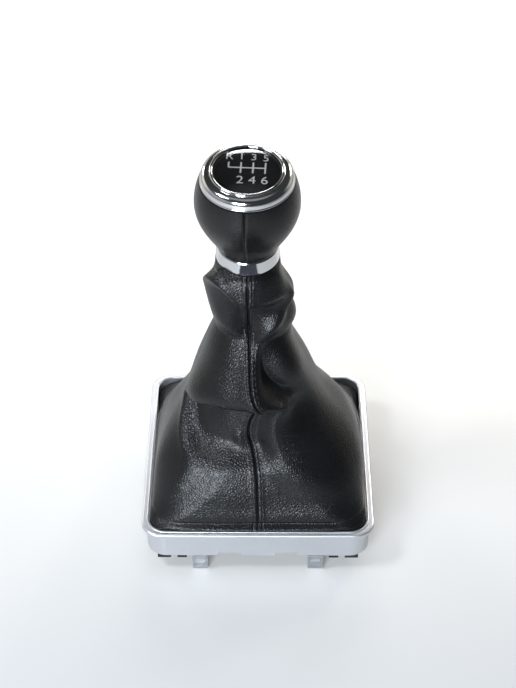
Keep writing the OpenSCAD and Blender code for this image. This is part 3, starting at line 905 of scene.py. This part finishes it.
def lighter(colour, factor):
    return tuple(min(1.0, c * factor) for c in colour)


def leather_grain(shader, where, size):
    """Pebbled leather from 0 to 1: small cells with creases between, and a few pores."""
    pebbles = shader.cells(where, size).step(0.0, 0.42)
    fine = shader.cells(where, size * 0.45).step(0.0, 0.5)
    clouds = shader.noise(where, size * 5, 3.0)
    return pebbles * 0.62 + fine * 0.2 + clouds * 0.35


def gaiter_leather(finishes):
    if ready("gaiter_leather"):
        return ready("gaiter_leather")
    shader = Shader("gaiter_leather", Specular_IOR_Level=0.4)
    where = shader.attribute("rest", output=1)
    seam = abs(shader.attribute("seam"))
    grain = leather_grain(shader, where, 0.0014)
    patches = shader.noise(where, 0.03, 3.0)
    wrinkles = shader.noise(where, 0.006, 4.0, 0.6)
    colour = tuple(finishes.gaiter_colour)
    worn = patches.step(0.35, 0.75)
    shader.feed(
        Base_Color=shader.mix(worn * 0.6 + grain * 0.3, colour, lighter(colour, 1.5)),
        Roughness=0.27 + patches * 0.08 - grain * 0.06 + wrinkles * 0.05,
    )
    groove = seam.hump(0.0, 0.0004)
    holes = seam.hump(0.0024, 0.0004)
    shader.bump(grain * 0.6 + wrinkles * 0.4 - groove * 1.6 - holes * 0.6, 0.0003, 0.85)
    return shader.material


def knob_leather(finishes):
    if ready("knob_leather"):
        return ready("knob_leather")
    shader = Shader("knob_leather", Specular_IOR_Level=0.4)
    where = shader.place()
    seam = shader.attribute("seam")
    grain = leather_grain(shader, where, 0.0009)
    patches = shader.noise(where, 0.02, 3.0)
    colour = tuple(finishes.knob_colour)
    shader.feed(
        Base_Color=shader.mix(patches.step(0.3, 0.8), colour, lighter(colour, 1.5)),
        Roughness=0.26 + patches * 0.08 - grain * 0.05,
    )
    shader.bump(grain * 0.5 - seam.hump(0.0, 0.0003) * 1.5, 0.00014, 0.7)
    return shader.material


def thread_finish():
    if ready("black_thread"):
        return ready("black_thread")
    shader = Shader("black_thread", Specular_IOR_Level=0.4)
    where = shader.place()
    twist = shader.node(
        "ShaderNodeTexWave", {"wave_type": "BANDS", "bands_direction": "DIAGONAL"},
        Vector=where, Scale=900.0, Distortion=1.0,
    )
    shader.feed(
        Base_Color=shader.mix(twist, (0.012, 0.012, 0.013), (0.035, 0.035, 0.038)),
        Roughness=0.42 + twist * 0.2,
    )
    shader.bump(twist, 0.00006, 0.7)
    return shader.material


def printed_white(finishes):
    shader = Shader("printed_white", Specular_IOR_Level=0.3)
    where = shader.place()
    ink = shader.noise(where, 0.0006, 3.0)
    colour = tuple(finishes.figure_colour)
    shader.feed(
        Base_Color=shader.mix(ink.step(0.2, 0.8), lighter(colour, 0.92), colour),
        Roughness=0.45 + ink * 0.15,
    )
    return shader.material


def chrome(finishes):
    if ready("chrome"):
        return ready("chrome")
    shader = Shader("chrome", Metallic=1.0)
    where = shader.place()
    haze = shader.noise(where, 0.012, 3.0)
    specks = shader.noise(where, 0.0012, 2.0)
    colour = tuple(finishes.chrome_colour)
    shader.feed(
        Base_Color=shader.mix(haze, lighter(colour, 0.95), colour),
        Roughness=0.08 + haze * 0.05 + specks.step(0.62, 0.8) * 0.05,
    )
    shader.bump(haze, 0.00008, 0.12)
    return shader.material


def satin_silver(finishes):
    shader = Shader("satin_silver", Metallic=0.75, Coat_Weight=0.25, Coat_Roughness=0.25)
    where = shader.place()
    flakes = shader.cells(where, 0.00025, "F1")
    haze = shader.noise(where, 0.02, 3.0)
    colour = tuple(finishes.silver_colour)
    shader.feed(
        Base_Color=shader.mix(
            flakes * 0.7 + haze * 0.3, lighter(colour, 0.9), lighter(colour, 1.08)
        ),
        Roughness=0.30 + haze * 0.10 + flakes * 0.06,
    )
    shader.bump(flakes * 0.6 + haze * 0.4, 0.00003, 0.25)
    return shader.material


def spring_steel():
    shader = Shader("spring_steel", Metallic=1.0)
    where = shader.place()
    rolled = shader.node(
        "ShaderNodeTexWave", {"wave_type": "BANDS", "bands_direction": "Z"},
        Vector=where, Scale=500.0, Distortion=6.0, Detail=3.0,
    )
    stain = shader.noise(where, 0.003, 4.0)
    shader.feed(
        Base_Color=shader.mix(stain.step(0.3, 0.8), (0.50, 0.51, 0.53), (0.66, 0.67, 0.69)),
        Roughness=0.22 + rolled * 0.10 + stain * 0.12,
    )
    shader.bump(rolled, 0.00003, 0.3)
    return shader.material


def moulded_black(name, colour, roughness, grain_size):
    shader = Shader(name, Specular_IOR_Level=0.45)
    where = shader.place()
    spark = shader.cells(where, grain_size, "F1")
    haze = shader.noise(where, 0.015, 3.0)
    shader.feed(
        Base_Color=shader.mix(haze, colour, lighter(colour, 1.4)),
        Roughness=roughness + haze * 0.10 + spark * 0.05,
    )
    shader.bump(spark * 0.6 + haze * 0.4, 0.00004, 0.4)
    return shader.material


def plate_black():
    shader = Shader("plate_black", Specular_IOR_Level=0.12)
    where = shader.place()
    haze = shader.noise(where, 0.008, 3.0)
    shader.feed(
        Base_Color=shader.mix(haze, (0.004, 0.004, 0.005), (0.009, 0.009, 0.010)),
        Roughness=0.5 + haze * 0.12,
    )
    return shader.material


def sleeve_metal():
    shader = Shader("sleeve_metal", Metallic=1.0)
    where = shader.place()
    grooves = shader.node(
        "ShaderNodeTexWave", {"wave_type": "BANDS", "bands_direction": "Z"},
        Vector=where, Scale=900.0, Distortion=0.4,
    )
    stain = shader.noise(where, 0.004, 4.0)
    shader.feed(
        Base_Color=shader.mix(stain, (0.44, 0.43, 0.40), (0.58, 0.57, 0.54)),
        Roughness=0.28 + grooves * 0.10 + stain * 0.12,
    )
    shader.bump(grooves, 0.00004, 0.3)
    return shader.material


def clear_lens():
    if ready("clear_lens"):
        return ready("clear_lens")
    shader = Shader(
        "clear_lens", Base_Color=(0.98, 0.98, 0.98, 1), Transmission_Weight=1.0, IOR=1.46
    )
    where = shader.place()
    smears = shader.noise(where, 0.006, 3.0)
    shader.feed(Roughness=0.012 + smears.step(0.55, 0.85) * 0.03)
    return shader.material


class MATERIAL_OT_cad_finishes(bpy.types.Operator):
    """Finishes for the moulded, plated and pressed pieces that stay as they are"""

    bl_idname = "material.cad_finishes"
    bl_label = "Finishes of the hard pieces"

    def execute(self, context):
        finishes = context.scene.finishes
        steel, bright = spring_steel(), chrome(finishes)
        looks = {
            "collar_ring": bright,
            "bezel_ring": bright,
            "trim_frame": satin_silver(finishes),
            "pattern_plate": plate_black(),
            "pattern_lens": clear_lens(),
            "lever_sleeve": sleeve_metal(),
            "clamp_ring": steel,
            "knob_core": moulded_black("core_plastic", (0.05, 0.05, 0.055), 0.5, 0.0005),
            "neck_ring": moulded_black("neck_plastic", (0.02, 0.02, 0.021), 0.4, 0.0004),
            "cap_carrier": moulded_black("carrier_plastic", (0.02, 0.02, 0.022), 0.42, 0.0004),
            "retaining_frame": moulded_black("frame_plastic", (0.012, 0.012, 0.014), 0.3, 0.0004),
            "gaiter_tie": moulded_black("tie_nylon", (0.02, 0.02, 0.02), 0.45, 0.0006),
        }
        for clip in ("clip_near_left", "clip_near_right", "clip_far_left", "clip_far_right"):
            looks[clip] = steel
        for name, look in looks.items():
            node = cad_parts[name]
            node.data.materials.clear()
            node.data.materials.append(look)
        return {"FINISHED"}


# The stage


# The photograph's camera: its place, its axes and its focal length in the frame of 516 by 688
CAMERA_PLACE = (0.002122, -0.629600, 0.660864)
CAMERA_RIGHT = (0.99999345, 0.00361987, 0.0)
CAMERA_UP = (-0.00239157, 0.66067555, 0.75066777)
CAMERA_BACK = (0.00271732, -0.75066285, 0.66067988)
FOCAL_PIXELS, PICTURE_WIDTH = 1600, 516


def add_camera():
    deselect_all()
    bpy.ops.object.camera_add()
    camera = bpy.context.object
    place = Matrix.Identity(4)
    for column, axis in enumerate((CAMERA_RIGHT, CAMERA_UP, CAMERA_BACK)):
        place.col[column][:3] = axis
    place.translation = Vector(CAMERA_PLACE)
    camera.matrix_world = place
    camera.data.sensor_fit = "HORIZONTAL"
    camera.data.sensor_width = 36
    camera.data.lens = 36 * FOCAL_PIXELS / PICTURE_WIDTH
    camera.data.clip_start, camera.data.clip_end = 0.01, 20
    bpy.context.scene.camera = camera


LAMPS_FACE = Vector((0, 0, 0.11))
# Each soft light: azimuth (0 behind the object, 90 on its right), height and roll in degrees,
# distance, size, watts and colour
SOFTBOXES = (
    ("window_left", -108, 55, 0, 1.25, (0.30, 0.30), 6.5, (0.92, 0.96, 1.0)),
    ("window_front", -162, 22, 0, 1.25, (0.46, 0.32), 16.5, (0.84, 0.92, 1.0)),
    ("window_back_left", -42, 22, 0, 1.25, (0.26, 0.26), 2.0, (0.95, 0.97, 1.0)),
    ("lamp_right", 38, 28, 0, 1.25, (0.30, 0.30), 4.0, (1.0, 0.95, 0.88)),
    ("window_far", 5, 27.5, 6, 1.1, (0.60, 0.14), 3.8, (1.0, 1.0, 1.0)),
)
# What the front of the collar mirrors: place, size and colour of flat cards that nothing else sees
CARDS = (
    ("dark_card", (-0.002, -0.092, 0.112), (0.080, 0.088), (0.05, 0.055, 0.065)),
    ("pale_card", (-0.017, -0.068, 0.1125), (0.034, 0.003), (0.80, 0.82, 0.85)),
    ("grey_card", (-0.023, -0.061, 0.1125), (0.014, 0.009), (0.12, 0.13, 0.15)),
)


def add_softbox(name, azimuth, height, roll, distance, size, watts, colour):
    away = Vector((sin(azimuth) * cos(height), cos(azimuth) * cos(height), sin(height)))
    place = LAMPS_FACE + distance * away
    deselect_all()
    bpy.ops.object.light_add(type="AREA", location=place)
    lamp = bpy.context.object
    lamp.name = name
    lamp.data.shape = "RECTANGLE"
    lamp.data.size, lamp.data.size_y = size
    lamp.data.energy = watts
    lamp.data.color = colour
    facing = (LAMPS_FACE - place).to_track_quat("-Z", "Y")
    lamp.rotation_euler = (facing @ Quaternion((0, 0, 1), math.radians(roll))).to_euler()


def add_card(name, place, size, colour):
    """A level card that only reflections see."""
    deselect_all()
    bpy.ops.mesh.primitive_plane_add(size=1, location=place)
    card = bpy.context.object
    card.name = name
    card.scale = (*size, 1)
    keep_place_in_mesh(card)
    shader = Shader(name, Specular_IOR_Level=0.0, Roughness=1.0)
    cloth = shader.noise(shader.place(), 0.05)
    shader.feed(Base_Color=shader.mix(cloth, colour, lighter(colour, 1.3)))
    card.data.materials.append(shader.material)
    card.visible_camera = False
    card.visible_shadow = False
    card.visible_diffuse = False


class SCENE_OT_gear_knob_stage(bpy.types.Operator):
    """Pale floor, soft lights, the cards that the collar mirrors, and the camera"""

    bl_idname = "scene.gear_knob_stage"
    bl_label = "Stage"

    def execute(self, context):
        add_camera()
        self.add_floor(context.scene.finishes)
        self.add_world(context.scene)
        for lamp in SOFTBOXES:
            add_softbox(*lamp)
        for card in CARDS:
            add_card(*card)
        view = context.scene.view_settings
        view.view_transform = "Standard"
        return {"FINISHED"}

    def add_floor(self, finishes):
        deselect_all()
        bpy.ops.mesh.primitive_plane_add(size=6)
        floor = bpy.context.object
        floor.name = "floor"
        edit_all()
        bpy.ops.mesh.subdivide(number_cuts=3)
        bpy.ops.object.mode_set(mode="OBJECT")
        colour = tuple(finishes.floor_colour)
        shader = Shader("floor", Specular_IOR_Level=0.5)
        where = shader.place()
        haze = shader.noise(where, 0.2, 2.0)
        shader.feed(
            Base_Color=shader.mix(haze, lighter(colour, 0.98), colour),
            Roughness=0.30 + haze * 0.06,
        )
        seen = shader.node("ShaderNodeLightPath")
        across = shader.node("ShaderNodeSeparateXYZ", None, where, output=0)
        depth = shader.node("ShaderNodeSeparateXYZ", None, where, output=1)
        # Painted light: for the camera the floor glows dim in front of the object and bright behind
        # it, as if lit from behind
        painted_floor_light = shader.mix(depth.step(-0.25, 0.15), (0.05, 0.06, 0.08), (0.40, 0.395, 0.375))
        # Painted warm light: a warm tint of light on the floor to the right behind the object
        painted_warm_light = across.step(0.03, 0.16) * depth.step(0.0, 0.12) * (1 - depth.step(0.30, 0.55))
        painted_floor_light = shader.mix(painted_warm_light * 0.6, painted_floor_light, (0.42, 0.385, 0.32))
        shader.feed(Emission_Color=painted_floor_light, Emission_Strength=seen)
        floor.data.materials.append(shader.material)

    def add_world(self, scene):
        world = bpy.data.worlds.new("pale_room")
        scene.world = world
        room = Nodes(world)
        direction = room.node("ShaderNodeTexCoord")
        x, y, z = (room.node("ShaderNodeSeparateXYZ", None, direction, output=i) for i in range(3))
        wall = z.step(-0.15, 0.05) * (1 - z.step(0.30, 0.55))
        far = y.step(-0.1, 0.5) * wall
        left = (-x).step(0.3, 0.9) * wall
        light = 0.04 + far * 0.50 + left * 0.36 + z.step(0.88, 0.97) * 0.25
        seen = room.node("ShaderNodeLightPath")
        tint = room.mix(far, (0.95, 0.98, 1.0), (1.0, 0.93, 0.77))
        background = room.tree.nodes["Background"]
        room.give(background.inputs["Color"], room.mix(seen, tint, (1, 1, 1)))
        room.give(background.inputs["Strength"], seen + (1 - seen) * light)


# Panel and run


STEPS = (
    MATERIAL_OT_cad_finishes,
    MESH_OT_gaiter_skin,
    MESH_OT_gaiter_stitches,
    MESH_OT_knob_leather,
    MESH_OT_bezel_and_lens,
    MESH_OT_shift_pattern,
    SCENE_OT_gear_knob_stage,
)
GROUPS = {"gaiter_sizes": GaiterSizes, "knob_sizes": KnobSizes, "finishes": Finishes}


class VIEW3D_PT_gear_knob(bpy.types.Panel):
    """Lists the steps that build the knob's looks"""

    bl_label = "Gear Knob"
    bl_space_type = "VIEW_3D"
    bl_region_type = "UI"
    bl_category = "Gear Knob"

    def draw(self, context):
        for step in STEPS:
            self.layout.operator(step.bl_idname)
        for group, kind in GROUPS.items():
            box = self.layout.box()
            for name in kind.__annotations__:
                box.prop(getattr(context.scene, group), name)


def register():
    for kind in (*GROUPS.values(), *STEPS, VIEW3D_PT_gear_knob):
        bpy.utils.register_class(kind)
    for group, kind in GROUPS.items():
        setattr(bpy.types.Scene, group, PointerProperty(type=kind))


def unregister():
    for group in GROUPS:
        delattr(bpy.types.Scene, group)
    for kind in (VIEW3D_PT_gear_knob, *reversed(STEPS), *GROUPS.values()):
        bpy.utils.unregister_class(kind)


def main():
    register()
    bpy.ops.material.cad_finishes()
    bpy.ops.mesh.gaiter_skin()
    bpy.ops.mesh.gaiter_stitches()
    bpy.ops.mesh.knob_leather()
    bpy.ops.mesh.bezel_and_lens()
    bpy.ops.mesh.shift_pattern()
    bpy.ops.scene.gear_knob_stage()


if __name__ == "__main__":
    main()
